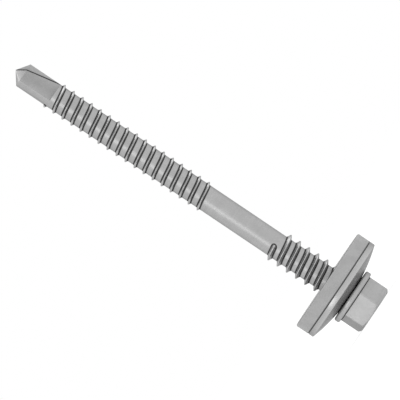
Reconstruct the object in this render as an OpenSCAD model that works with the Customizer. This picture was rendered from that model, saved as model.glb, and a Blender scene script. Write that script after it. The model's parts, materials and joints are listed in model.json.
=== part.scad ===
// Self drilling screw: a two-flute drill point, a fine thread, a plain shank, a raised support
// thread and a hexagon flange head. It carries a captive sealing washer, which is a dished metal
// plate with a rubber ring bonded under it.
//
// The pieces are drawn upright about one axis, with the tip at height 0 and the head on top.
// Angles round the axis run anticlockwise as seen from the head. At the end everything is turned
// over, the way the screw stands on a table: on its head, with the drill point up.

/* [Shank] */
// Diameter of the plain shank, of the drill point and of the core under both threads
shank_d = 4.45; // [4.1:0.05:4.8]
// Length from the tip to the underside of the flange
grip_l = 69.08; // [66:0.5:120]

/* [Drill point] */
// Full angle of the cone at the tip
point_angle = 108; // [90:1:130]
// Length from the tip to the end wall of the flutes
flute_l = 7.83; // [6:0.1:11]
// Distance of the flute's inner corner from the axis where the cone ends
flute_corner = 1.06; // [0.8:0.05:1.3]
// Angle round the shank that each flute takes
flute_sweep = 122; // [100:1:135]
// Thickness of the web between the two cutting lips
web_t = 0.08; // [0.04:0.02:0.3]

/* [Fine thread] */
// Outside diameter of the fine thread
fine_d = 5.27; // [5:0.05:5.6]
// Rise of the fine thread in one turn
fine_pitch = 1.86; // [1.6:0.02:2.2]
// Number of turns of the fine thread
fine_turns = 17; // [8:1:19]
// Width of the fine thread where it meets the shank
fine_base_w = 0.58; // [0.4:0.02:0.8]
// Width of the fine thread's crest
fine_crest_w = 0.1; // [0.05:0.01:0.2]
// How far below the flutes' end wall the fine thread starts
fine_overlap = 0.31; // [0:0.01:0.5]

/* [Support thread] */
// Outside diameter of the support thread
support_d = 5.86; // [5.5:0.05:6.3]
// Rise of the support thread in one turn
support_pitch = 1.89; // [1.7:0.02:2.2]
// Width of the support thread where it meets the shank
support_base_w = 0.9; // [0.7:0.05:1.2]
// Width of the support thread's crest
support_crest_w = 0.12; // [0.05:0.01:0.3]
// Length of the support thread that shows below the washer
support_l = 10.67; // [5:0.1:20]

/* [Head] */
// Width of the hexagon across its flats
hex_af = 8; // [7:0.5:9]
// Height of the hexagon above the flange
hex_h = 4.02; // [3:0.1:6]
// Slope of the chamfer round the top of the hexagon
hex_chamfer_angle = 30; // [15:1:40]
// How far the chamfer's top circle lies inside the flats
hex_inset = 0.1; // [0.05:0.05:0.5]
// Diameter of the flange
flange_d = 10.05; // [9.5:0.05:12]
// Thickness of the flange
flange_t = 1.04; // [0.8:0.02:1.6]
// Radius of the flange's two rounded edges
flange_round = 0.3; // [0.1:0.05:0.35]

/* [Sealing washer] */
// Outside diameter of the plate and of the rubber ring
washer_d = 19; // [16:0.5:22]
// Height of the plate's rim
plate_t = 1.02; // [0.7:0.05:1.2]
// Height of the rubber ring's rim
ring_t = 2.52; // [1.8:0.05:3]
// How far the plate rises from its rim to the land under the flange
dish_rise = 1.28; // [0.8:0.01:1.6]
// Diameter of the plate's flat land under the flange
land_d = 6.9; // [6.4:0.1:8]

/* [Fits] */
// Running clearance between the shank and the rubber ring, on the radius
ring_clearance = 0.035; // [0.02:0.005:0.06]
// Clearance between the shank and the hole in the plate, on the radius
plate_clearance = 0.32; // [0.2:0.02:0.4]
// Running clearance between the flange and the plate
flange_clearance = 0.03; // [0.02:0.005:0.06]

/* [Hidden] */
$fn = 96;

// Flat steps in one turn of a thread, along a flute, in a rounded edge and across the dish
thread_steps = 24;
flute_steps = 10;
round_steps = 6;
dish_steps = 12;

// Drill point
shank_r = shank_d / 2;
cone_h = shank_r / tan(point_angle / 2);
heel = shank_r * [cos(flute_sweep), sin(flute_sweep)];

// Threads: the angle where each starts, the angle where the fine thread ends, the angle over
// which the support thread fades out, and how deep a thread's foot is sunk into the shank
fine_start_angle = 165;
fine_end_angle = 180;
support_start_angle = 90;
support_fade_angle = 110;
thread_sink = 0.15;
fine_start = flute_l - fine_overlap;

// Head
flange_r = flange_d / 2;
hex_r = hex_af / 2 / cos(30);
hex_turn = 15;
hex_bottom = grip_l + flange_t;
screw_l = hex_bottom + hex_h;
hex_top_r = hex_af / 2 - hex_inset;

// Washer: its top, its joint and its underside are parts of three spheres with one centre, each
// cut flat under the flange
washer_r = washer_d / 2;
land_r = land_d / 2;
land_z = grip_l - flange_clearance;
rim_z = land_z - dish_rise;
joint_rim_z = rim_z - plate_t;
seal_z = joint_rim_z - ring_t;
dish_z = rim_z - (pow(washer_r, 2) - pow(land_r, 2) - pow(dish_rise, 2)) / (2 * dish_rise);
top_ball_r = norm([washer_r, rim_z - dish_z]);
joint_ball_r = norm([washer_r, joint_rim_z - dish_z]);
under_ball_r = norm([washer_r, seal_z - dish_z]);
joint_z = land_z - (top_ball_r - joint_ball_r);
under_z = joint_z - (joint_ball_r - under_ball_r);

// The support thread runs on into the hollow under the rubber ring
support_start = seal_z - support_l;
support_end = under_z - support_base_w / 2 - flange_clearance;
support_turns = (support_end - support_start) / support_pitch;

// Points [radius, height] on a sphere about the dish's centre, from the washer's rim inwards to
// the land, which lies at flat_z
function ball_arc(ball_r, flat_z) =
    let (flat_r = sqrt(pow(ball_r, 2) - pow(flat_z - dish_z, 2)))
    [
        for (i = [0:dish_steps])
            let (r = washer_r + (flat_r - washer_r) * i / dish_steps)
            [r, dish_z + sqrt(pow(ball_r, 2) - pow(r, 2))]
    ];

// Points on an arc of a circle, from one angle to another
function arc(centre, r, from_angle, to_angle) = [
    for (i = [0:round_steps])
        let (a = from_angle + (to_angle - from_angle) * i / round_steps)
        centre + r * [cos(a), sin(a)]
];

function reversed(list) = [for (i = [len(list) - 1:-1:0]) list[i]];

// Triangles between neighbouring rings of points, each ring with m points, from a first index on
function skin(first, rings, m) = [
    for (i = [0:rings - 2], k = [0:m - 1])
        let (a = first + m * i + k, b = first + m * i + (k + 1) % m)
        for (face = [[a, a + m, b], [b, a + m, b + m]])
            face
];

// A helical ridge of trapezoid section that starts at angle 0 and height 0, with its foot sunk
// into the shank. It starts blunt, and over the fade angle at its end the crest sinks into the
// shank. A fade of 0 ends it blunt too.
module helical_ridge(crest_r, base_w, crest_w, pitch, turns, fade) {
    steps = ceil(turns * thread_steps);
    flank = (base_w - crest_w) / 2 / (crest_r - shank_r);
    foot_r = shank_r - thread_sink;
    foot_w = base_w + 2 * thread_sink * flank;
    faded_r = shank_r - thread_sink / 3;
    points = [
        for (i = [0:steps])
            let (
                a = 360 * turns * i / steps,
                keep = fade > 0 ? min(1, (360 * turns - a) / fade) : 1,
                r = faded_r + (crest_r - faded_r) * keep,
                z = pitch * a / 360
            )
            for (p = [[foot_r, -foot_w / 2], [foot_r, foot_w / 2], [r, crest_w / 2], [r, -crest_w / 2]])
                [p[0] * cos(a), p[0] * sin(a), z + p[1]]
    ];
    last = 4 * steps;
    start_face = [[0, 1, 2], [0, 2, 3]];
    end_face = [[last, last + 2, last + 1], [last, last + 3, last + 2]];
    polyhedron(points, concat(start_face, skin(0, steps + 1, 4), end_face), convexity = 10);
}

module fine_thread() {
    turns = fine_turns + (fine_end_angle - fine_start_angle) / 360;
    translate([0, 0, fine_start])
        rotate(fine_start_angle)
            helical_ridge(fine_d / 2, fine_base_w, fine_crest_w, fine_pitch, turns, 0);
}

module support_thread() {
    translate([0, 0, support_start])
        rotate(support_start_angle)
            helical_ridge(support_d / 2, support_base_w, support_crest_w, support_pitch,
                support_turns, support_fade_angle);
}

// The space that one flute cuts out of the drill point. Its section is a notch between the rake
// face, which carries the cutting lip, and the floor, which runs to the heel. The floor turns as
// it climbs, until at the end wall the notch is a plain chord. In the cone it shrinks to the tip.
module flute() {
    out = 2 * shank_r;
    rake_y = web_t / 2;
    rows = [
        for (i = [0:flute_steps])
            let (t = i / flute_steps, corner = flute_corner + (shank_r - flute_corner) * t)
            let (z = cone_h + (flute_l - cone_h) * t)
            for (p = [[corner, rake_y], [out, rake_y], [out, out], [2 * heel[0], out], 2 * heel, heel])
                [p[0], p[1], z]
    ];
    m = 6;
    last = 1 + m * flute_steps;
    tip = [for (k = [0:m - 1]) [0, 1 + k, 1 + (k + 1) % m]];
    wall = [for (k = [1:m - 2]) [last, last + k + 1, last + k]];
    points = concat([[0, rake_y, 0]], rows);
    polyhedron(points, concat(tip, skin(1, flute_steps + 1, m), wall), convexity = 4);
}

module shank() {
    cylinder(r1 = 0, r2 = shank_r, h = cone_h);
    translate([0, 0, cone_h])
        cylinder(r = shank_r, h = grip_l - cone_h + flange_t / 2);
}

module flange() {
    edge = flange_r - flange_round;
    translate([0, 0, grip_l])
        rotate_extrude()
            polygon(concat(
                [[0, 0]],
                arc([edge, flange_round], flange_round, -90, 0),
                arc([edge, flange_t - flange_round], flange_round, 0, 90),
                [[0, flange_t]]
            ));
}

module hexagon() {
    turned_r = hex_r + hex_inset;
    chamfer_h = (turned_r - hex_top_r) * tan(hex_chamfer_angle);
    translate([0, 0, hex_bottom])
        intersection() {
            translate([0, 0, -flange_t / 2])
                rotate(hex_turn)
                    cylinder(r = hex_r, h = hex_h + flange_t / 2, $fn = 6);
            rotate_extrude()
                polygon([
                    [0, -flange_t / 2],
                    [turned_r, -flange_t / 2],
                    [turned_r, hex_h - chamfer_h],
                    [hex_top_r, hex_h],
                    [0, hex_h]
                ]);
        }
}

// Turns a piece over, so that the screw stands on its head at height 0
module stand() {
    translate([0, 0, screw_l])
        rotate([180, 0, 0])
            children();
}

module screw() {
    color([0.70, 0.69, 0.69])
        stand()
            difference() {
                union() {
                    shank();
                    flange();
                    hexagon();
                    fine_thread();
                    support_thread();
                }
                flute();
                rotate(180)
                    flute();
            }
}

module washer_plate() {
    hole_r = shank_r + plate_clearance;
    color([0.74, 0.73, 0.73])
        stand()
            rotate_extrude()
                polygon(concat(
                    ball_arc(top_ball_r, land_z),
                    [[hole_r, land_z], [hole_r, joint_z]],
                    reversed(ball_arc(joint_ball_r, joint_z))
                ));
}

module sealing_ring() {
    bore_r = shank_r + ring_clearance;
    color([0.55, 0.54, 0.54])
        stand()
            rotate_extrude()
                polygon(concat(
                    ball_arc(joint_ball_r, joint_z),
                    [[bore_r, joint_z], [bore_r, under_z]],
                    reversed(ball_arc(under_ball_r, under_z))
                ));
}

screw();
washer_plate();
sealing_ring();
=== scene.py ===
# %% [markdown]
# A self drilling screw with its sealing washer
#
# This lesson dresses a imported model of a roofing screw. The model gives every piece its real
# size and place, and what is added here is what the eye asks for up close: rolled threads with
# rounded crests and roots, forged edges, and plated steel and rubber that look like themselves.
#
# The screw stands on its hexagon head with the drill point up. Shapes are drawn the way a maker
# draws a screw, in millimetres, with the tip at height 0 and the head on top, and are turned
# over when they become meshes.

import json
import math

import bpy
import numpy as np
from mathutils import Matrix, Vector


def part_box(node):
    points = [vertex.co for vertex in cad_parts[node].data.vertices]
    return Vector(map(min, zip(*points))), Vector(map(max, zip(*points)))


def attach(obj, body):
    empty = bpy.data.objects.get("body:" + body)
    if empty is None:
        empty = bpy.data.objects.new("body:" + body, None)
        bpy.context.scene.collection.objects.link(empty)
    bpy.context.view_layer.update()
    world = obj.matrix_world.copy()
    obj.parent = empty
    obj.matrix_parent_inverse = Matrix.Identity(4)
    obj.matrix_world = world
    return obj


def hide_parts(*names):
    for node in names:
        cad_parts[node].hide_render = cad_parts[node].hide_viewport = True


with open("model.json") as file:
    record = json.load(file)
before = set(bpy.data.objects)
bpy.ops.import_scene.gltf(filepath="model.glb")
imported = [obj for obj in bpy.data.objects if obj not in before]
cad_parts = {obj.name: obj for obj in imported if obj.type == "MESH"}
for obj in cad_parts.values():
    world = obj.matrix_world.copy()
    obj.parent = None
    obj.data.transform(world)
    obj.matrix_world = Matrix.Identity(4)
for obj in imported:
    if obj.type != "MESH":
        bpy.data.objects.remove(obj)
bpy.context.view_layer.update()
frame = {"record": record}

# %% [markdown]
# The sizes
#
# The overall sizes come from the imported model: the length and the washer's width from its boxes,
# and the crests and lengths of the threads from its mounts. What a box can't tell, such as the
# width of a ridge or the angle of the point, is named here. A maker would read the same numbers
# off a gauge.

# %% Sizes in millimetres
MM = 0.001
dims = {mount["name"]: mount["dims"] for mount in frame["record"]["mounts"]}
screw_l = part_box("screw")[1].z / MM
washer_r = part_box("sealing_ring")[1].x / MM
seal_z = screw_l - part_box("sealing_ring")[1].z / MM

shank_r = 4.45 / 2
point_angle = math.radians(108)
cone_h = shank_r / math.tan(point_angle / 2)

flute_l = 7.83
flute_corner = 1.06
flute_sweep = math.radians(122)
web_t = 0.08

flange_r = 10.05 / 2
flange_t = 1.04
hex_h = dims["hex_drive"]["length_mm"]
hex_a = 8 / 2
hex_turn = 15
hex_inset = 0.1
hex_chamfer = math.radians(30)
hex_bottom = screw_l - hex_h
grip_l = hex_bottom - flange_t

print(f"screw {screw_l:.2f} mm long, {grip_l:.2f} under the flange, washer {2 * washer_r:.2f} across")


# %% [markdown]
# From a grid of numbers to a mesh
#
# Every shape below is a whole array of points. Three helpers turn such arrays into objects. One
# turns the maker's drawing over onto the screw's head, one fills a mesh, and one marks the edges
# where the surface truly breaks, so that everything else is shaded round.

# %% Helpers that make objects
def stand(points):
    """Points drawn in mm with the tip at height 0, as metres with the screw on its head.

    It is half a turn about x: y changes sign, and the height becomes the length less the height.
    """
    return points * (MM, -MM, -MM) + (0, 0, screw_l * MM)


def shade(mesh, crease=40):
    """Smooth shading, but for the edges where faces meet at more than crease degrees."""
    mesh.shade_smooth()
    mesh.set_sharp_from_angle(angle=math.radians(crease))


def make_object(name, points, faces):
    """A mesh object at the origin, from points of the maker's drawing."""
    mesh = bpy.data.meshes.new(name)
    mesh.from_pydata(stand(points).tolist(), [], faces)
    shade(mesh)
    piece = bpy.data.objects.new(name, mesh)
    bpy.context.scene.collection.objects.link(piece)
    return piece


# %% [markdown]
# The camera
#
# The picture is a flat side view: its lines don't converge. A very long lens far away gives the
# same view, and still lets the camera walk round the object. The screw's axis falls to the
# right in the picture, so the camera is rolled by that angle. The scale is the number of picture
# pixels that one millimetre takes.

# %% Camera
def pose(thing, side, up, back, place):
    """Moves an object to a place, with its x, y and z axes along side, up and back."""
    matrix = np.eye(4)
    matrix[:3] = np.stack((side, up, back, place), -1)
    thing.matrix_world = Matrix(matrix.tolist())


picture_px = 400
px_per_mm = 5.84
axis_fall = math.radians(33.94)
centre_from_tip = 38.64
centre_across = -0.85
lens = 1200
sensor = 36

frame_w = picture_px / px_per_mm * MM
distance = frame_w * lens / sensor
right = np.array([math.sin(axis_fall), 0, -math.cos(axis_fall)])
up = np.array([math.cos(axis_fall), 0, math.sin(axis_fall)])
back = np.array([0, -1, 0])
target = stand(np.array([[centre_across, 0, centre_from_tip]]))[0]

camera_data = bpy.data.cameras.new("camera")
camera_data.lens = lens
camera_data.sensor_width = sensor
camera_data.clip_end = 10 * distance
camera = bpy.data.objects.new("camera", camera_data)
bpy.context.scene.collection.objects.link(camera)
pose(camera, right, up, back, target + distance * back)
bpy.context.scene.camera = camera
print(f"camera {distance:.2f} m away, frame {frame_w / MM:.2f} mm wide")


# %% [markdown]
# The columns of the screw's skin
#
# The screw is one piece of steel, so it gets one closed skin from the tip to the top of the
# hexagon. All its rows share the same columns, which run along the screw. They are close
# together where the surface changes quickly on its way round: at the six rounded corners of the
# hexagon, at the rounded start of the support thread, and between the start and the end of the
# fine thread, which has a little over seventeen turns. An even column that would crowd a close
# one is left out, because slivers shade badly.
#
# corner_shares are places of columns near a corner, as shares of half its arc. support_angles
# say where that thread's rounded start begins and ends, and fine_angles where the fine thread
# itself does.

# %% Angles of the columns, in degrees
corner_round = 0.25
corner_shares = np.array([0, 0.5, 1, 1.8])
flat_steps = 17
end_step = 1.5
least_gap = 0.8
support_angles = (90, 102)
fine_angles = (165, 180)


def corner_circle(inner, corner):
    """Where a hexagon's rounded corner has its circle, and half the angle that the arc takes up.

    inner is half the hexagon's width. The centre is at c = (inner - corner) / cos 30 from the
    axis, and the arc meets the flat where tan(angle) = (corner / 2) / (c + corner cos 30).
    """
    centre = (inner - corner) / math.cos(math.radians(30))
    along = centre + corner * math.cos(math.radians(30))
    return centre, math.degrees(math.atan2(corner / 2, along))


def close_columns(first, last):
    """Angles one end_step apart, from a step before first to a step past last."""
    return np.arange(first - end_step, last + 1.01 * end_step, end_step)


near_corner = corner_shares * corner_circle(hex_a, corner_round)[1]
one_flat = np.linspace(near_corner[-1], 60 - near_corner[-1], flat_steps + 1)
sector = np.concatenate((near_corner[:-1], one_flat, 60 - near_corner[-2:0:-1]))
even = np.concatenate([hex_turn + 60 * k + sector for k in range(6)]) % 360
close = np.concatenate((close_columns(*support_angles), close_columns(*fine_angles)))
gap = np.abs(even[:, None] - close[None, :]).min(1)
angles = np.unique(np.round(np.concatenate((even[gap > least_gap], close)), 4))
columns = len(angles)
turn_cos, turn_sin = np.cos(np.radians(angles)), np.sin(np.radians(angles))
print(f"{columns} columns, {np.diff(angles).min():.2f} to {np.diff(angles).max():.2f} degrees apart")


# %% [markdown]
# Rings and coils
#
# Plain parts of a screw are stacks of level rings. A thread isn't level: if its crest had to
# cross level rings, it would look like a staircase. So where there is a thread the rows climb
# with it. Such a coil is a grid with a shifted seam: past the last column, a row goes on as the
# row that lies one turn higher. At both ends of a coil one tall face closes the step of a turn,
# and it is flat, because it spans one column only.

# %% Faces of rings and coils
def row_points(radius, height):
    """Points (r cos a, r sin a, h) for arrays of rows by columns."""
    radius, height = np.broadcast_arrays(radius, height)
    return np.stack((radius * turn_cos, radius * turn_sin, height), -1).reshape(-1, 3)


def rings(*parts):
    """One stack of level rings from (radius, height) pairs, each a number or an array."""
    shapes = [np.broadcast_arrays(radius + 0 * angles, height + 0 * angles) for radius, height in parts]
    return tuple(np.concatenate([np.atleast_2d(shape[side]) for shape in shapes]) for side in (0, 1))


def ring_faces(first, rows):
    """Quads between neighbours in a stack of level rings, whose points start at first."""
    i, k = np.meshgrid(np.arange(rows - 1), np.arange(columns), indexing="ij")
    a = first + i * columns + k
    b = first + i * columns + (k + 1) % columns
    return np.stack((a, b, b + columns, a + columns), -1).reshape(-1, 4)


def coil_faces(first, rows, per_turn):
    """Quads of a coil: past the last column, row i goes on as row i + per_turn."""
    i, k = np.meshgrid(np.arange(rows - 1), np.arange(columns), indexing="ij")
    a = first + i * columns + k
    at_seam = k == columns - 1
    b = np.where(at_seam, first + (i + per_turn) * columns, a + 1)
    quads = np.stack((a, b, b + columns, a + columns), -1)
    return quads[~at_seam | (i + per_turn < rows - 1)]


def join_below(ring, first, per_turn):
    """Faces from a level ring up to the first row of a coil, and the face that closes its step."""
    k = np.arange(columns - 1)
    quads = np.stack((ring + k, ring + k + 1, first + k + 1, first + k), -1)
    riser = [first + i * columns for i in range(per_turn + 1)]
    return quads.tolist() + [[ring + columns - 1, ring] + riser + [first + columns - 1]]


def join_above(last, ring, per_turn):
    """Faces from the last row of a coil up to a level ring, and the face that closes its step."""
    k = np.arange(columns - 1)
    quads = np.stack((last + k, last + k + 1, ring + k + 1, ring + k), -1)
    end = last + columns - 1
    riser = [end - i * columns for i in range(per_turn + 1)]
    return quads.tolist() + [[last, ring, ring + columns - 1] + riser]


# %% [markdown]
# A rolled thread
#
# Threads of this kind are rolled: the steel is squeezed up between two dies, so the ridge has a
# small round where it leaves the shank and a narrow round on its crest. Its section is a
# trapezoid with those rounds. The ridge ends like a capsule: its flank goes on round the end,
# because there the distance from the middle line is measured to the line's last point.
#
# The foot of a ridge gets a painted shade. How far that shade reaches is named here already,
# because two rows of points lie just past it: a number that is stored on points is spread evenly
# over the face between them, and it would be spread too far over a wide one.

# %% A helical ridge
# Where the painted shade beside a ridge's foot fades out, in mm from the foot, and the gap from there to
# the next row.
painted_foot_shade = (0.05, 0.19)
past_foot_shade = 0.03


class Thread:
    """A ridge: its crest radius, widths, pitch, where it starts and how many turns it has.

    fade is the number of degrees over which it sinks into the shank before its end.
    """

    def __init__(self, crest_r, base_w, crest_w, pitch, start_z, start_angle, turns, fade=0.0):
        self.height = crest_r - shank_r
        self.base_w, self.crest_w, self.pitch = base_w, crest_w, pitch
        self.start_z, self.start_angle = start_z, start_angle
        self.turns, self.fade = turns, fade
        self.slope = math.atan2(self.height, (base_w - crest_w) / 2)

    def section(self, root_round, crest_round, flank_rows, steps=3):
        """Half the ridge's section: distances from its middle, growing, and their heights.

        Both rounds are arcs tangent to the flank, which climbs at the angle slope. A round of
        radius q takes q tan(slope / 2) off each of the two lines that it joins. More points lie
        at equal steps on the flank between the rounds.
        """
        a = np.linspace(0, self.slope, steps + 1)
        tangent = math.tan(self.slope / 2)
        crest = np.stack((self.crest_w / 2 - crest_round * tangent + crest_round * np.sin(a),
                          self.height - crest_round * (1 - np.cos(a))), -1)
        foot = self.base_w / 2 + root_round * tangent
        root = np.stack((foot - root_round * np.sin(a), root_round * (1 - np.cos(a))), -1)[::-1]
        flank = np.linspace(crest[-1], root[0], flank_rows + 2)[1:-1]
        return np.concatenate((crest, flank, root)).T

    def coil(self, root_round, crest_round, flank_rows=0):
        """Radius and height of every point of the coil, and its number of rows a turn.

        The rows lie at the section's own distances either side of the ridge. Three more lie on
        the plain shank between two turns, two of them just past the painted shade at the foot.
        The ridge starts one turn up the coil.
        """
        far, rise = self.section(root_round, crest_round, flank_rows)
        beside = self.base_w / 2 + painted_foot_shade[1] + past_foot_shade
        offsets = np.concatenate(([-self.pitch / 2, -beside], -far[::-1], far, [beside]))
        per_turn = len(offsets)
        turns = math.ceil(self.turns + self.start_angle / 360) + 1
        row = np.arange(turns * per_turn + 1)
        offset = offsets[row % per_turn][:, None]
        around = 360 * (row // per_turn)[:, None] + angles - self.start_angle - 360
        height = self.start_z + self.pitch * around / 360 + offset
        keep = 1.0 if not self.fade else ((360 * self.turns - around) / self.fade).clip(0, 1)
        ridge = np.interp(self.near(around, offset), far, rise, right=0)
        return shank_r + keep * ridge, height, per_turn

    def near(self, around, offset):
        """Distance from the ridge's middle line in mm, for degrees from its start and mm beside it.

        The line ends half the ridge's width short of both ends, and past an end of the line the
        distance is that from the end: hypot(beside, past).
        """
        inset = math.degrees(self.base_w / 2 / shank_r)
        past = np.maximum(inset - around, around + inset - 360 * self.turns).clip(0)
        return np.hypot(offset, shank_r * np.radians(past))

    def from_foot(self, angle, height):
        """How far any point of the shank lies from the ridge's foot in mm: less than 0 on the ridge.

        The middle line reaches a height after (height - start) / pitch turns. Of its passes at
        the point's own angle, the nearest is a whole number of turns away.
        """
        turn = (height - self.start_z) / self.pitch
        own = (angle - self.start_angle) / 360
        nearest = own + np.round(turn - own)
        return self.near(360 * nearest, (turn - nearest) * self.pitch) - self.base_w / 2


# %% [markdown]
# Two threads are on this screw. The fine one taps the steel frame that the point has drilled,
# and starts just before the flutes end. The wider one under the washer holds the outer sheet
# up, and runs on into the hollow rubber, where it fades out. Its flank is long enough to need
# rows of its own, or its rounded start would crumple.

# %% The two threads
fine_pitch = 1.86
fine_turns = 17 + (fine_angles[1] - fine_angles[0]) / 360
fine_base_w = 0.58
fine_crest_w = 0.1
fine_before_wall = 0.31
fine_start = flute_l - fine_before_wall
fine = Thread(dims["fine_thread"]["r_mm"], fine_base_w, fine_crest_w, fine_pitch, fine_start,
              fine_angles[0], fine_turns)

support_pitch = 1.89
support_turns = 6.167
support_base_w = 0.9
support_crest_w = 0.12
support_start = seal_z - dims["support_thread"]["length_mm"]
support = Thread(dims["support_thread"]["r_mm"], support_base_w, support_crest_w, support_pitch,
                 support_start, support_angles[0], support_turns, fade=110)

fine_r, fine_h, fine_rows = fine.coil(root_round=0.09, crest_round=0.06)
support_r, support_h, support_rows = support.coil(root_round=0.12, crest_round=0.07, flank_rows=3)
print(f"fine thread {len(fine_r)} rows, support thread {len(support_r)} rows")


# %% [markdown]
# The head
#
# The hexagon and its round flange are forged from the same wire. Going up the head the outline
# changes from a circle to a hexagon with slightly rounded corners and back to a circle. Such a
# hexagon has a simple polar form: straight flats, and round each corner an arc whose centre lies
# on the corner's own radius. Every edge gets a small round, and a flat face gets a row close
# beside each round, so that it is shaded flat.

# %% Rows of the flange
flange_round = 0.3
foot_round = 0.1
underside_r = (shank_r, shank_r + 0.05, 3.4, flange_r - flange_round - 0.1)
seat_shares = (0.1, 0.5, 1)


def arc(centre, radius, start, end, steps):
    """Points centre + radius (cos a, sin a), with a from start to end in degrees."""
    a = np.radians(np.linspace(start, end, steps + 1))
    return np.array(centre) + radius * np.stack((np.cos(a), np.sin(a)), -1)


def hexagon(inner, corner):
    """Radius of a hexagon at each column: inner is half its width, corner rounds its corners.

    On a flat it is inner / cos(angle from the middle of the flat). Near a corner it is the far
    point of a circle seen from the axis: c cos(d) + sqrt(corner^2 - c^2 sin(d)^2), with d the
    angle from the corner and c the distance of the circle's centre.
    """
    from_corner = np.abs((angles - hex_turn + 30) % 60 - 30)
    flat = inner / np.cos(np.radians(30 - from_corner))
    c, limit = corner_circle(inner, corner)
    d = np.radians(np.minimum(from_corner, limit))
    return np.where(from_corner < limit, c * np.cos(d) + np.sqrt(corner**2 - (c * np.sin(d))**2), flat)


def flange_rows(steps=6):
    """(radius, height) of each row from the shank over the flange to the foot of the hexagon.

    The last rows pass from the circle to the hexagon: circle + (hexagon - circle) share.
    """
    edge = flange_r - flange_round
    rows = [(radius, grip_l) for radius in underside_r]
    rows += arc((edge, grip_l + flange_round), flange_round, -90, 0, steps).tolist()
    rows += arc((edge, hex_bottom - flange_round), flange_round, 0, 90, steps).tolist()
    foot_line = hexagon(hex_a + foot_round, corner_round + foot_round)
    return rows + [(edge + (foot_line - edge) * share, hex_bottom) for share in seat_shares]


# %% Rows of the hexagon
side_round = 0.12
top_round = 0.14
beside_side = 0.08
beside_top = 0.06
top_shares = (0.66, 0.33)


def hexagon_rows(steps=3):
    """(radius, height) of each row from the hexagon's foot up to the middle of its top.

    The foot is a hollow round. The chamfer is a cone of slope tan(chamfer), so it cuts each flat
    lower at the corners, where the radius is larger. Its two edges are rounds tangent to it.
    """
    rows = []
    for a in np.linspace(0, math.pi / 2, steps + 2)[1:]:
        out = foot_round * (1 - np.sin(a))
        rise = foot_round * (1 - np.cos(a))
        rows.append((hexagon(hex_a + out, corner_round + out), hex_bottom + rise))
    hex_line = hexagon(hex_a, corner_round)
    rows.append((hex_line, hex_bottom + foot_round + beside_side))

    top_r = hex_a - hex_inset
    side_top = screw_l - (hex_line - top_r) * math.tan(hex_chamfer)
    steep = math.pi / 2 - hex_chamfer
    start = side_top - side_round * math.tan(steep / 2)
    rows.append((hex_line, start - beside_side))
    for a in np.linspace(0, steep, steps + 1):
        rows.append((hex_line - side_round * (1 - np.cos(a)), start + side_round * np.sin(a)))
    inner = top_r - top_round * math.tan(hex_chamfer / 2)
    for a in np.linspace(steep, math.pi / 2, steps + 1):
        rows.append((inner + top_round * np.cos(a), screw_l - top_round * (1 - np.sin(a))))
    rows.append((inner - beside_top, screw_l))
    return rows + [(share * inner, screw_l) for share in top_shares]


head = flange_rows() + hexagon_rows()
print(f"head {len(head)} rows")


# %% [markdown]
# One skin for the whole screw
#
# Now the parts are stacked: the cone of the point, a plain stretch for the flutes, the fine
# coil, the plain shank, the support coil, the head and its middle. Each block knows where its
# points start, so joining two blocks is a matter of counting.

# %% Stack the rows and join them
edge_round = 0.05
cone_r = np.array([0.05, 0.35, 0.8, 1.25, 1.7, 2.05, shank_r - 0.08])
cone_gap = 0.15
coil_gap = 0.3


def cone_rows():
    """Radii and heights from just above the tip to the plain shank, with a small round between.

    On the cone the height is r / tan(half the point angle).
    """
    slope = math.pi / 2 - point_angle / 2
    cone_z = cone_r / math.tan(point_angle / 2)
    edge = arc((shank_r - edge_round, cone_h + edge_round * math.tan(slope / 2)),
               edge_round, -math.degrees(slope), 0, 3)
    return np.concatenate((np.stack((cone_r, cone_z), -1), edge))


def plain_rings(low, high, rows=5):
    """Evenly spaced rings of the plain shank, the last one a coil_gap below the coil at high."""
    return shank_r, np.linspace(low, high - coil_gap, rows)[:, None]


def screw_skin():
    """Points and faces of the closed skin, from the tip to the middle of the hexagon's top."""
    cone = cone_rows()
    stacks = [rings((cone[:, :1], cone[:, 1:]), plain_rings(cone_h + cone_gap, fine_h.min())),
              (fine_r, fine_h, fine_rows),
              rings(plain_rings(fine_h.max() + coil_gap, support_h.min())),
              (support_r, support_h, support_rows),
              rings((shank_r, support_h.max() + coil_gap), *head)]

    points, faces, first = [np.zeros((1, 3))], [], 1
    for radius, height, *per_turn in stacks:
        block = row_points(radius, height)
        rows = len(block) // columns
        if per_turn:
            faces += join_below(first - columns, first, *per_turn)
            faces += coil_faces(first, rows, *per_turn).tolist()
            faces += join_above(first + (rows - 1) * columns, first + rows * columns, *per_turn)
        else:
            faces += ring_faces(first, rows).tolist()
        points.append(block)
        first += len(block)

    k = np.arange(columns)
    after = (k + 1) % columns
    top = first - columns
    faces += np.stack((0 * k, 1 + after, 1 + k), -1).tolist()
    faces += np.stack((0 * k + first, top + k, top + after), -1).tolist()
    points.append([[0, 0, screw_l]])
    return np.concatenate(points), faces


points, faces = screw_skin()
screw = make_object("drill_screw", points, faces)
print(f"skin of {len(points)} points and {len(faces)} faces")


# %% [markdown]
# The drill point
#
# Two flutes are pinched into the point. Each one is a notch between the rake face, which carries
# the cutting lip, and a floor that runs to the heel behind it. The floor turns as it climbs, so
# at the end wall the notch is a shallow chord. Sharp notches like these are best cut out of the
# finished skin, by a closed cutter that is lofted through the notch's section at each height.

# %% The cutter of a flute
rake_y = web_t / 2
corner_fillet = 0.16
floor_shares = np.array([0, 0.02, 0.08, 0.25, 0.5, 0.75, 0.92])
cone_shrinks = np.array([0.03, 0.12, 0.35, 0.7])


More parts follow.
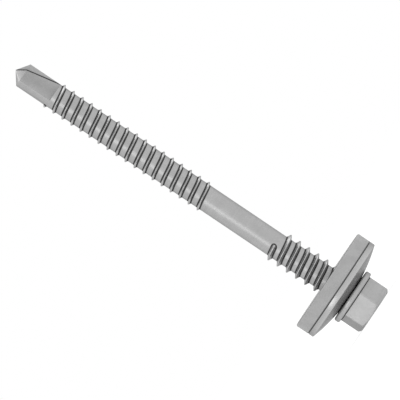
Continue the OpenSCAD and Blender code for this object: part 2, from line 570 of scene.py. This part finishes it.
def flute_section(share, steps=6):
    """The notch's outline at a share of the way from the cone's base to the end wall.

    Its inner corner lies at x = corner + (shank radius - corner) share. A small arc, tangent to
    the rake face and to the floor, rounds it: the arc's centre is r / tan(half) along the rake
    face, with half being half the angle between the two faces.
    """
    out = 2 * shank_r
    heel = shank_r * np.array([math.cos(flute_sweep), math.sin(flute_sweep)])
    corner = np.array([flute_corner + (shank_r - flute_corner) * share, rake_y])
    half = math.atan2(*(heel - corner)[::-1]) / 2
    centre = corner + corner_fillet * np.array([1 / math.tan(half), 1])
    inner = arc(centre, corner_fillet, 90 + 2 * math.degrees(half), 270, steps)
    far = [[out, rake_y], [out, out], [2 * heel[0], out], 2 * heel]
    floor = heel + floor_shares[:, None] * (inner[0] - heel)
    return np.concatenate((inner, far, floor))


def flute_cutter(side, rows=24):
    """Points and faces of one cutter. side is 1 or -1: the second flute is half a turn on.

    Sections are stacked from the tip to the end wall. In the cone the first section shrinks
    towards the point of the rake face that lies on the axis: (x, y) goes to (x s, y s) from there.
    """
    apex = np.array([0, rake_y])
    flats = [apex + (flute_section(0) - apex) * shrink for shrink in cone_shrinks]
    shares = np.linspace(0, 1, rows)
    flats += [flute_section(share) for share in shares]
    heights = np.concatenate((cone_h * cone_shrinks, cone_h + (flute_l - cone_h) * shares))
    m, rows = len(flats[0]), len(flats)
    sections = np.dstack((np.stack(flats), np.repeat(heights[:, None], m, 1))).reshape(-1, 3)
    points = np.concatenate(([[*apex, 0]], sections)) * (side, side, 1)
    k = np.arange(m)
    tip = np.stack((0 * k, 1 + (k + 1) % m, 1 + k), -1).tolist()
    i, k = np.meshgrid(np.arange(rows - 1), k, indexing="ij")
    a, b = 1 + i * m + k, 1 + i * m + (k + 1) % m
    sides = np.stack((a, b, b + m, a + m), -1).reshape(-1, 4).tolist()
    wall = [list(range(1 + (rows - 1) * m, 1 + rows * m))]
    return points, tip + sides + wall


# %% [markdown]
# The cut leaves crisp edges, as on a real drill point. On two of them the faces may meet at less
# than the crease angle, and smooth shading would blur them: the bend in a flute's floor at the
# base of the cone, and the rim of the end wall, which the first ridge crosses. They are found by
# their place and marked.

# %% Numbers read from a mesh
def read(items, name, kind=float, width=1):
    """A number or, with a width, a row of numbers of every point, edge, face or corner."""
    values = np.empty(len(items) * width, kind)
    items.foreach_get(name, values)
    return values.reshape(-1, width) if width > 1 else values


def as_drawn(piece):
    """The piece's points in the maker's drawing again, in mm: the other half of stand's turn."""
    return read(piece.data.vertices, "co", width=3) / (MM, -MM, -MM) + (0, 0, screw_l)


def count(piece):
    """Prints the piece's triangles, and how many of its edges don't join exactly two faces.

    A face with n corners is n - 2 triangles.
    """
    mesh = piece.data
    faces_at_edge = np.bincount(read(mesh.loops, "edge_index", int), minlength=len(mesh.edges))
    triangles = len(mesh.loops) - 2 * len(mesh.polygons)
    print(f"{piece.name}: {triangles} triangles, {(faces_at_edge != 2).sum()} open edges")


# %% Cut the two flutes
level_slack = 0.001
rim_slack = 0.02


def cut(piece, cutters):
    """Takes the cutters out of the piece for good, and deletes them.

    A Boolean leaves an empty material slot, which would hide the finish that comes later.
    """
    for cutter in cutters:
        modifier = piece.modifiers.new(cutter.name, "BOOLEAN")
        modifier.operation = "DIFFERENCE"
        modifier.solver = "MANIFOLD"
        modifier.object = cutter
    bpy.context.view_layer.update()
    evaluated = piece.evaluated_get(bpy.context.evaluated_depsgraph_get())
    done = bpy.data.meshes.new_from_object(evaluated)
    done.materials.clear()
    piece.modifiers.clear()
    old = piece.data
    piece.data = done
    bpy.data.meshes.remove(old)
    for cutter in cutters:
        bpy.data.objects.remove(cutter)


def sharpen(piece, test):
    """Marks as sharp the edges whose two ends both pass a test of radius and height in mm."""
    mesh = piece.data
    x, y, height = as_drawn(piece).T
    passed = test(np.hypot(x, y), height)
    before = read(mesh.edges, "use_edge_sharp", bool)
    sharp = before | passed[read(mesh.edges, "vertices", int, 2)].all(1)
    mesh.edges.foreach_set("use_edge_sharp", sharp)
    print(f"{piece.name}: {before.sum()} sharp edges, {sharp.sum()} with those picked by place")


cut(screw, [make_object(f"flute_{side}", *flute_cutter(side)) for side in (1, -1)])
shade(screw.data)
sharpen(screw, lambda r, h: (np.abs(h - cone_h) < level_slack) & (r < shank_r - rim_slack))
sharpen(screw, lambda r, h: np.abs(h - flute_l) < level_slack)
count(screw)


# %% [markdown]
# The sealing washer
#
# The washer is a pressed steel disc with a rubber ring bonded under it. Both are dished: seen in
# section, the top, the joint and the underside are arcs of three circles with one centre, which
# end in a flat land under the flange. A turned outline gives both pieces. Their edges get small
# rounds, as a press tool and a mould leave them.

# %% Sizes of the washer
plate_rim = 1.02
dish_rise = 1.28
land_r = 6.9 / 2
flange_gap = 0.03
ring_bore = shank_r + 0.035
plate_hole = shank_r + 0.32

land_z = grip_l - flange_gap
rim_z = land_z - dish_rise
joint_rim_z = rim_z - plate_rim
ball_z = rim_z - (washer_r**2 - land_r**2 - dish_rise**2) / (2 * dish_rise)
print(f"rim from {seal_z:.2f} to {rim_z:.2f} mm from the tip, joint at {joint_rim_z:.2f}")


# %% Dished and rounded outlines
def dish(rim_height, steps=40):
    """Points from the rim to the land on a circle about the dish's centre, and the land's height.

    The circle's radius is hypot(washer radius, rim height - centre height), and a point at
    radius r has the height centre + sqrt(ball^2 - r^2).
    """
    ball = math.hypot(washer_r, rim_height - ball_z)
    top_ball = math.hypot(washer_r, rim_z - ball_z)
    flat = land_z - (top_ball - ball)
    r = np.linspace(washer_r, math.sqrt(ball**2 - (flat - ball_z)**2), steps + 1)
    return np.stack((r, ball_z + np.sqrt(ball**2 - r**2)), -1), flat


def round_corner(outline, corner, radius, steps=5):
    """The outline with one of its points replaced by an arc that is tangent to both neighbours.

    The arc leaves each line at radius tan(turn / 2) from the corner, where turn is the angle by
    which the outline changes direction there.
    """
    before, point, after = outline[corner - 1], outline[corner], outline[(corner + 1) % len(outline)]
    one = (point - before) / np.linalg.norm(point - before)
    two = (after - point) / np.linalg.norm(after - point)
    angle = math.atan2(one[0] * two[1] - one[1] * two[0], one @ two)
    leave = radius * abs(math.tan(angle / 2))
    centre = point - leave * one + math.copysign(radius, angle) * np.array([-one[1], one[0]])
    start = math.degrees(math.atan2(*(point - leave * one - centre)[::-1]))
    curve = arc(centre, radius, start, start + math.degrees(angle), steps)
    return np.concatenate((outline[:corner], curve, outline[corner + 1:]))


# %% Turned pieces
def lathe(name, outline, turns=240):
    """A closed ring: point (r, h) of the outline goes to (r cos a, r sin a, h)."""
    a = np.linspace(0, 2 * np.pi, turns, endpoint=False)[:, None]
    r, h = outline.T
    points = np.stack(np.broadcast_arrays(r * np.cos(a), r * np.sin(a), h), -1).reshape(-1, 3)
    m = len(outline)
    i, k = np.meshgrid(np.arange(turns), np.arange(m), indexing="ij")
    a, b = i * m + k, (i + 1) % turns * m + k
    c, d = (i + 1) % turns * m + (k + 1) % m, i * m + (k + 1) % m
    return make_object(name, points, np.stack((a, b, c, d), -1).reshape(-1, 4).tolist())


def dished_ring(name, low_rim, high_rim, hole, rounds):
    """A ring between two dished surfaces, named by the heights of their rims, with a round hole.

    The outline runs out along the low surface, back along the high one and down the hole.
    rounds are the radii at the hole's low and high edge and at the rim's high and low edge, and
    an edge with 0 stays sharp.
    """
    low, low_flat = dish(low_rim)
    high, high_flat = dish(high_rim)
    outline = np.concatenate((low[::-1], high, [[hole, high_flat], [hole, low_flat]]))
    n = len(low)
    for corner, radius in zip((2 * n + 1, 2 * n, n, n - 1), rounds):
        if radius:
            outline = round_corner(outline, corner, radius)
    return lathe(name, outline)


plate_rounds = (0.1, 0.16, 0.13, 0.14)
rubber_rounds = (0.15, 0, 0.16, 0.22)
plate = dished_ring("washer_disc", joint_rim_z, rim_z, plate_hole, plate_rounds)
rubber = dished_ring("rubber_ring", seal_z, joint_rim_z, ring_bore, rubber_rounds)
count(plate)
count(rubber)


# %% [markdown]
# Where edges are rubbed and shade is painted
#
# Plating rubs bright on convex edges. Hollows, the foot of a thread and the flutes are given a
# painted shade. A material can follow all that if the mesh tells it where it is. So a few
# measures are stored on the mesh, and each one is a plain formula of the place. Most are stored
# on its points and blend from one to the next. Only whether a face belongs to a flute is stored
# on the face itself, because that has to change at a sharp line.

# %% Numbers on points and faces
def mark(piece, name, values, domain="POINT"):
    """Stores a number on each point or, with the domain FACE, on each face of the piece."""
    layer = piece.data.attributes.new(name, "FLOAT", domain)
    layer.data.foreach_set("value", np.asarray(values, np.float32))
    print(f"{piece.name}: {name} from {float(values.min()):.2f} to {float(values.max()):.2f}")


def corners(piece):
    """The point and the face of each corner of the mesh."""
    size = read(piece.data.polygons, "loop_total", int)
    return read(piece.data.loops, "vertex_index", int), np.repeat(np.arange(len(size)), size)


def bend_of(piece, least=1.0, most=20.0):
    """How sharply the surface bends at each point, in 1 / mm: positive on edges, negative in hollows.

    Along an edge between two points it is (n2 - n1) . (p2 - p1) / |p2 - p1|^2, and of the edges
    that meet at a point the strongest counts, whether it is a round edge or a hollow. What is
    under least, such as the shank's own roundness, is no bend.
    """
    mesh = piece.data
    place = as_drawn(piece)
    normal = read(mesh.vertices, "normal", width=3) * (1, -1, -1)
    one, two = read(mesh.edges, "vertices", int, 2).T
    step = place[two] - place[one]
    along = ((normal[two] - normal[one]) * step).sum(1) / (step * step).sum(1)
    out, into = np.zeros(len(place)), np.zeros(len(place))
    for end in (one, two):
        np.maximum.at(out, end, along)
        np.minimum.at(into, end, along)
    bend = np.where(out > -into, out, into).clip(-most, most)
    return np.where(np.abs(bend) < least, 0, bend)


# %% Marks on the washer
for piece in (plate, rubber):
    x, y, height = as_drawn(piece).T
    mark(piece, "bend", bend_of(piece))
    mark(piece, "joint", np.hypot(np.hypot(x, y) - washer_r, height - joint_rim_z))


# %% [markdown]
# The screw has more places to tell apart: the feet of its threads, the inner corners of its
# flutes, how deep a flute is, and the edges of the two lands that stay between the flutes.

# %% Places on the screw
depth_slack = 0.01
no_land = 1


def depth_in_flute(piece):
    """How deep each point lies under the bar's own surface in mm, and which faces are a flute's.

    The bar's radius is the shank's, or height tan(half the point angle) on the cone. A face with
    a deep corner belongs to a flute, whole.
    """
    x, y, height = as_drawn(piece).T
    bar = np.minimum(shank_r, height * math.tan(point_angle / 2))
    depth = np.where(height < flute_l + depth_slack, bar - np.hypot(x, y), 0)
    point, face = corners(piece)
    deepest = np.zeros(face.max() + 1)
    np.maximum.at(deepest, face, depth[point])
    return depth.clip(0), deepest > depth_slack


def corner_distance(x, y, height):
    """Distance in mm from the inner corner of the flute that a point is in, at the point's height."""
    side = np.where(y < 0, -1, 1)
    share = ((height - cone_h) / (flute_l - cone_h)).clip(0, 1)
    shrink = (height / cone_h).clip(0, 1)
    corner_x = (flute_corner + (shank_r - flute_corner) * share) * shrink
    return np.hypot(side * x - corner_x, side * y - rake_y)


def land_edge(x, y):
    """Distance in mm from the nearer edge of the land that is left between the two flutes.

    The land lies between the heel, at the angle flute_sweep, and the next rake face, at half a
    turn. The distance is r times the angle to the nearer of them.
    """
    angle = np.arctan2(y, x) % np.pi
    return np.hypot(x, y) * np.abs(np.minimum(angle - flute_sweep, np.pi - angle))


x, y, height = as_drawn(screw).T
angle = np.degrees(np.arctan2(y, x))
foot = np.minimum(fine.from_foot(angle, height), support.from_foot(angle, height))
depth, in_flute = depth_in_flute(screw)
mark(screw, "foot", foot)
mark(screw, "corner", corner_distance(x, y, height))
mark(screw, "land", np.where(height < flute_l + depth_slack, land_edge(x, y), no_land))
mark(screw, "depth", depth)
mark(screw, "in_flute", in_flute, "FACE")


# %% [markdown]
# Along the flutes' edges the skin's points are shared with the cut, and its sharp edge would
# pass for a strong bend. The bend of a ridge depends only on the distance from its foot, so
# near the cut it is read off a whole turn further up.

# %% Bend of the screw
def points_of(chosen):
    """Which points of the screw belong to one of the chosen faces."""
    found = np.zeros(len(height), bool)
    found[point[chosen[face]]] = True
    return found


def faces_at(chosen):
    """Which faces of the screw have one of the chosen points."""
    found = np.zeros(len(in_flute), bool)
    found[face[chosen[point]]] = True
    return found


mid_fine = grip_l / 3
point, face = corners(screw)
bend = bend_of(screw)
near_cut = points_of(faces_at(points_of(in_flute)))
whole_turn = np.flatnonzero(np.abs(height - mid_fine) < fine_pitch / 2)
by_foot = whole_turn[np.argsort(foot[whole_turn])]
bend[near_cut] = np.interp(foot[near_cut], foot[by_foot], bend[by_foot])
mark(screw, "bend", bend)


# %% [markdown]
# Shader maths as plain expressions
#
# A material is a small calculation. One class wraps a socket, so that sums and products of
# patterns read as Python, and another adds any other kind of node to a material or to the room.

# %% A socket that can be calculated with
class Value:
    """A number that changes over the surface. Each operator adds a Math node."""

    def __init__(self, finish, socket):
        self.finish, self.socket = finish, socket

    def maths(self, operation, *others):
        """A Math node on this value and the others."""
        return self.finish.node("ShaderNodeMath", {"operation": operation}, (self, *others))

    def __add__(self, other):
        return self.maths("ADD", other)

    def __sub__(self, other):
        return self.maths("SUBTRACT", other)

    def __rsub__(self, other):
        return self.finish.node("ShaderNodeMath", {"operation": "SUBTRACT"}, (other, self))

    def __mul__(self, other):
        return self.maths("MULTIPLY", other)

    __radd__ = __add__
    __rmul__ = __mul__

    def most(self, other):
        """The larger of the two numbers."""
        return self.maths("MAXIMUM", other)

    def between(self, low, high):
        """0 at low and under, 1 at high and over, and smooth between."""
        return self.finish.node("ShaderNodeMapRange", {"interpolation_type": "SMOOTHSTEP"},
                                {"Value": self, "From Min": low, "From Max": high})


# %% The nodes of a finish
class Finish:
    """The nodes of a material or of the room, built one by one."""

    def __init__(self, owner):
        owner.use_nodes = True
        self.tree = owner.node_tree
        self.tree.nodes.clear()

    def node(self, kind, settings=None, sockets=(), out=0):
        """Adds a node: its settings, then its sockets' values or links. Returns one output."""
        node = self.tree.nodes.new(kind)
        for name, value in (settings or {}).items():
            setattr(node, name, value)
        pairs = sockets.items() if isinstance(sockets, dict) else enumerate(sockets)
        for name, value in pairs:
            if isinstance(value, Value):
                self.tree.links.new(value.socket, node.inputs[name])
            else:
                node.inputs[name].default_value = value
        return Value(self, node.outputs[out]) if node.outputs else None

    def noise(self, stretch, detail=2.0, roughness=0.5):
        """Noise from 0 to 1 in Object coordinates, with so many grains a mm along x, y and z."""
        where = self.node("ShaderNodeTexCoord", out="Object")
        scaled = self.node("ShaderNodeMapping", {"vector_type": "POINT"},
                           {"Vector": where, "Scale": [n / MM for n in stretch]})
        return self.node("ShaderNodeTexNoise", {}, {"Vector": scaled, "Scale": 1.0, "Detail": detail,
                                                    "Roughness": roughness})

    def attribute(self, name):
        """A number that is stored on the mesh."""
        return self.node("ShaderNodeAttribute", {"attribute_name": name}, out="Fac")

    def blend(self, share, one, two):
        """Colour one where share is 0 and two where it is 1."""
        return self.node("ShaderNodeMix", {"data_type": "RGBA"}, {0: share, 6: one, 7: two}, out=2)

    def bump(self, strength, depth, height):
        """Turns a height from 0 to 1 into a change of the normal, for a relief of so many mm."""
        return self.node("ShaderNodeBump", {}, {"Strength": strength, "Distance": depth * MM,
                                                "Height": height})

    def surface(self, sockets):
        """Ends the nodes in a Principled shader with these sockets."""
        shader = self.node("ShaderNodeBsdfPrincipled", {}, sockets)
        self.node("ShaderNodeOutputMaterial", {}, {"Surface": shader})


def grey(level):
    """A neutral colour in linear light."""
    return (level, level, level, 1)


# %% [markdown]
# Plated steel
#
# The screw is carbon steel with a dull silver zinc coat: a metal, but not a mirror. Real zinc
# is a little chalky and scatters part of the light, so Metallic stays a little under 1. The coat
# has a fine grain, a soft cloudiness, faint marks of the tools that drew the wire and pressed
# the plate and bright rubbed edges, and its hollows get a dark painted shade. Colours are
# linear light: a grey of 0.45 shows as 0.7 on the screen.
#
# The rubbing and the painted shade come first, as two numbers from 0 to 1: how much an edge is
# rubbed, and how much painted shade lies in a hollow. Each pair of values below says where such a
# change starts and where it ends.

# %% Where the zinc is rubbed, and where shade is painted
rubbed_bend = (1.5, 7)
# The next five ranges place painted shade: in hollows, on the ridge side of a thread's foot, in a
# flute's inner corner, along the plate's joint and where a flute is deep.
shaded_hollow_bend = (0.5, 6)
painted_ridge_shade = (-0.14, -0.05)
painted_corner_shade = (0.04, 0.2)
painted_joint_shade = (0.06, 0.2)
deep_flute_shade = (0.1, 1.3)
rubbed_lip = (0.01, 0.09)
rubbed_land = (0.05, 0.12)


def bend_wear_and_shade(bend):
    """Rubbed edges, and painted shade in the hollows, of a surface that bends."""
    return bend.between(*rubbed_bend), (0 - bend).between(*shaded_hollow_bend)


def plate_wear_and_shade(f):
    """Rubbed edges and painted shade of the washer's plate: the painted shade also lies where it meets
    the rubber.
    """
    edge, painted_shade = bend_wear_and_shade(f.attribute("bend"))
    return edge, painted_shade.most(1 - f.attribute("joint").between(*painted_joint_shade))


def screw_wear_and_shade(f):
    """Rubbed edges and painted shade of the screw: painted shade lies at the feet of its threads and in
    its flutes.

    A flute's floor has a little painted shade all over, more where it is deep, and most in its inner
    corner. Its edges are rubbed on both sides.
    """
    foot, depth, corner = f.attribute("foot"), f.attribute("depth"), f.attribute("corner")
    in_flute, land = f.attribute("in_flute"), f.attribute("land")
    outside = 1 - in_flute
    edge, painted_shade = bend_wear_and_shade(f.attribute("bend") * outside)
    # Painted shade at the feet of the threads, in the flutes' inner corners and over their floors.
    thread_foot_shade = (1 - foot.between(*painted_foot_shade)) * foot.between(*painted_ridge_shade)
    painted_shade = painted_shade.most(thread_foot_shade * outside)
    painted_shade = painted_shade.most(in_flute * (1 - corner.between(*painted_corner_shade)))
    painted_shade = painted_shade.most(in_flute * 0.12 + depth.between(*deep_flute_shade) * 0.15)
    edge = edge.most(in_flute * (1 - depth.between(*rubbed_lip)))
    edge = edge.most(outside * (1 - land.between(*rubbed_land)))
    return edge, painted_shade


# %% Plated steel
def plated_steel(name, level, rough, marks, wear_and_shade):
    """A zinc coat on steel of a grey level. marks are its tool marks' grains a mm, by axis."""
    material = bpy.data.materials.new(name)
    f = Finish(material)
    edge, painted_shade = wear_and_shade(f)
    cloud = f.noise((0.35, 0.35, 0.35), detail=3)
    mottle = f.noise((1.6, 1.6, 1.6), detail=2)
    grain = f.noise((7, 7, 7), detail=3, roughness=0.6)
    tool_marks = f.noise(marks, detail=2)

    tone = f.blend(cloud.between(0.3, 0.7), grey(level * 0.94), grey(level * 1.05))
    darker = ((mottle, (0.4, 0.7), 0.3, 0.84),
              (grain, (0.35, 0.75), 0.35, 0.8),
              (tool_marks, (0.45, 0.8), 0.3, 0.78))
    for pattern, limits, share, dark in darker:
        tone = f.blend(pattern.between(*limits) * share, tone, grey(level * dark))
    # Painted shade: the hollows, thread feet and flutes darken nearly to black.
    tone = f.blend(painted_shade * 0.93, tone, grey(level * 0.05))
    tone = f.blend(edge * 0.5, tone, grey(level * 1.15))
    roughness = rough + (cloud - 0.5) * 0.16 + (grain - 0.5) * 0.12 + painted_shade * 0.2 - edge * 0.08
    relief = f.bump(0.35, 0.02, grain * 0.5 + tool_marks * 0.8 + cloud * 0.6)
    f.surface({"Base Color": tone, "Metallic": 0.85, "Roughness": roughness, "Normal": relief,
               "Specular Tint": grey(0.45)})
    return material


# %% [markdown]
# Rubber
#
# The ring is moulded grey rubber: matt, with a fine speckle where the filler shows. Its hollows
# and a line where it meets the plate get a dark painted shade.

# %% Rubber
# Where the painted shade along the joint with the plate and in the hollows starts and ends.
rubber_joint_shade = (0.08, 0.22)
rubber_hollow_shade = (0.3, 4)


def moulded_rubber(name, level):
    """Rubber of a grey level: no metal, rough, finely speckled."""
    material = bpy.data.materials.new(name)
    f = Finish(material)
    hollow = (0 - f.attribute("bend")).between(*rubber_hollow_shade)
    joint = 1 - f.attribute("joint").between(*rubber_joint_shade)
    speckle = f.noise((9, 9, 9), detail=2)
    cloud = f.noise((0.5, 0.5, 0.5), detail=2)
    tone = f.blend(cloud.between(0.3, 0.7), grey(level * 0.95), grey(level * 1.04))
    tone = f.blend(speckle.between(0.5, 0.75) * 0.3, tone, grey(level * 0.72))
    # Painted shade: the hollows darken, and the groove where the rubber meets the plate turns nearly
    # black.
    tone = f.blend(hollow * 0.6, tone, grey(level * 0.4))
    tone = f.blend(joint * 0.85, tone, grey(level * 0.12))
    roughness = 0.72 + (speckle - 0.5) * 0.2
    relief = f.bump(0.4, 0.03, speckle + cloud)
    f.surface({"Base Color": tone, "Roughness": roughness, "Specular IOR Level": 0.35, "Normal": relief})
    return material


finishes = {
    screw: plated_steel("plated_steel", 0.45, 0.36, (0.25, 0.25, 6), screw_wear_and_shade),
    plate: plated_steel("washer_steel", 0.44, 0.34, (0.25, 0.25, 9), plate_wear_and_shade),
    rubber: moulded_rubber("grey_rubber", 0.46),
}
for piece, material in finishes.items():
    piece.data.materials.append(material)
    print(piece.name, "wears", material.name, "with", len(material.node_tree.nodes), "nodes")


# %% [markdown]
# The studio
#
# The picture's ground is bare white. Ground that shone so brightly on everything would wash out
# the screw's greys, so it has two faces. To the camera, and in mirrors, the floor is a glow with
# a darker paper added to it: the sum is white, and a soft grey in the screw's shadow. To all
# other light it is a plain pale paper. The room is white to the camera too, and lights the scene
# a little less. The light itself comes from three large soft lamps: one from in front, one from
# the side, and the strongest from above and behind.

# %% Floor
floor_half = 1.5
plain_paper = 0.8
seen_paper = 0.45
seen_glow = 0.7


def seen_directly(finish):
    """1 for rays that see the ground: straight from the camera, in a mirror, or through glass."""
    camera_ray, glossy_ray, glass_ray = [finish.node("ShaderNodeLightPath", out=f"Is {kind} Ray")
                                         for kind in ("Camera", "Glossy", "Transmission")]
    return camera_ray.most(glossy_ray).most(glass_ray)


floor_mesh = bpy.data.meshes.new("floor")
square = np.array([(-1, -1, 0), (1, -1, 0), (1, 1, 0), (-1, 1, 0)])
floor_mesh.from_pydata((square * floor_half).tolist(), [], [[0, 1, 2, 3]])
floor = bpy.data.objects.new("floor", floor_mesh)
bpy.context.scene.collection.objects.link(floor)
floor_paint = bpy.data.materials.new("floor")
f = Finish(floor_paint)
shown = seen_directly(f)
paper_tone = f.blend(shown, grey(plain_paper), grey(seen_paper))
paper = f.node("ShaderNodeBsdfDiffuse", {}, {"Color": paper_tone})
glow = f.node("ShaderNodeEmission", {}, {"Color": grey(1.0), "Strength": shown * seen_glow})
both = f.node("ShaderNodeAddShader", {}, (paper, glow))
f.node("ShaderNodeOutputMaterial", {}, {"Surface": both})
floor_mesh.materials.append(floor_paint)
print(f"floor {2 * floor_half:.1f} m wide")

# %% Room
room_light = 0.7

room = bpy.data.worlds.new("room")
bpy.context.scene.world = room
f = Finish(room)
strength = seen_directly(f) * (1 - room_light) + room_light
backdrop = f.node("ShaderNodeBackground", {}, {"Color": grey(1.0), "Strength": strength})
f.node("ShaderNodeOutputWorld", {}, {"Surface": backdrop})
bpy.context.scene.view_settings.view_transform = "Standard"
print(f"room light {room_light}")


# %% Lamps
def soft_lamp(name, direction, width, height, watts, away=0.8):
    """A lamp that looks at the middle of the screw from a direction in the row frame.

    Its side is the cross product of the upright and the direction, so its height stands upright.
    """
    light = bpy.data.lights.new(name, "AREA")
    light.shape, light.size, light.size_y, light.energy = "RECTANGLE", width, height, watts
    lamp = bpy.data.objects.new(name, light)
    bpy.context.scene.collection.objects.link(lamp)
    towards = np.array(direction, float) / np.linalg.norm(direction)
    side = np.cross((0, 0, 1), towards)
    side = side / np.linalg.norm(side)
    middle = np.array([0, 0, screw_l / 2 * MM])
    pose(lamp, side, np.cross(towards, side), towards, middle + towards * away)
    print(f"lamp {name}: {width} by {height} m, {watts} W")


soft_lamp("key", (-0.55, -0.83, 0.25), 0.34, 0.8, 1.05)
soft_lamp("fill", (0.85, -0.1, 0.65), 0.6, 0.6, 0.8)
soft_lamp("top", (0.1, 0.5, 1.0), 0.7, 0.7, 2.6)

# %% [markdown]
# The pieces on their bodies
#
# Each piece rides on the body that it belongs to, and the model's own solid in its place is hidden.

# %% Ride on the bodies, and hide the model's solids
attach(screw, "screw")
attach(plate, "washer")
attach(rubber, "washer")
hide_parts("screw")
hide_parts("washer_plate")
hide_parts("sealing_ring")
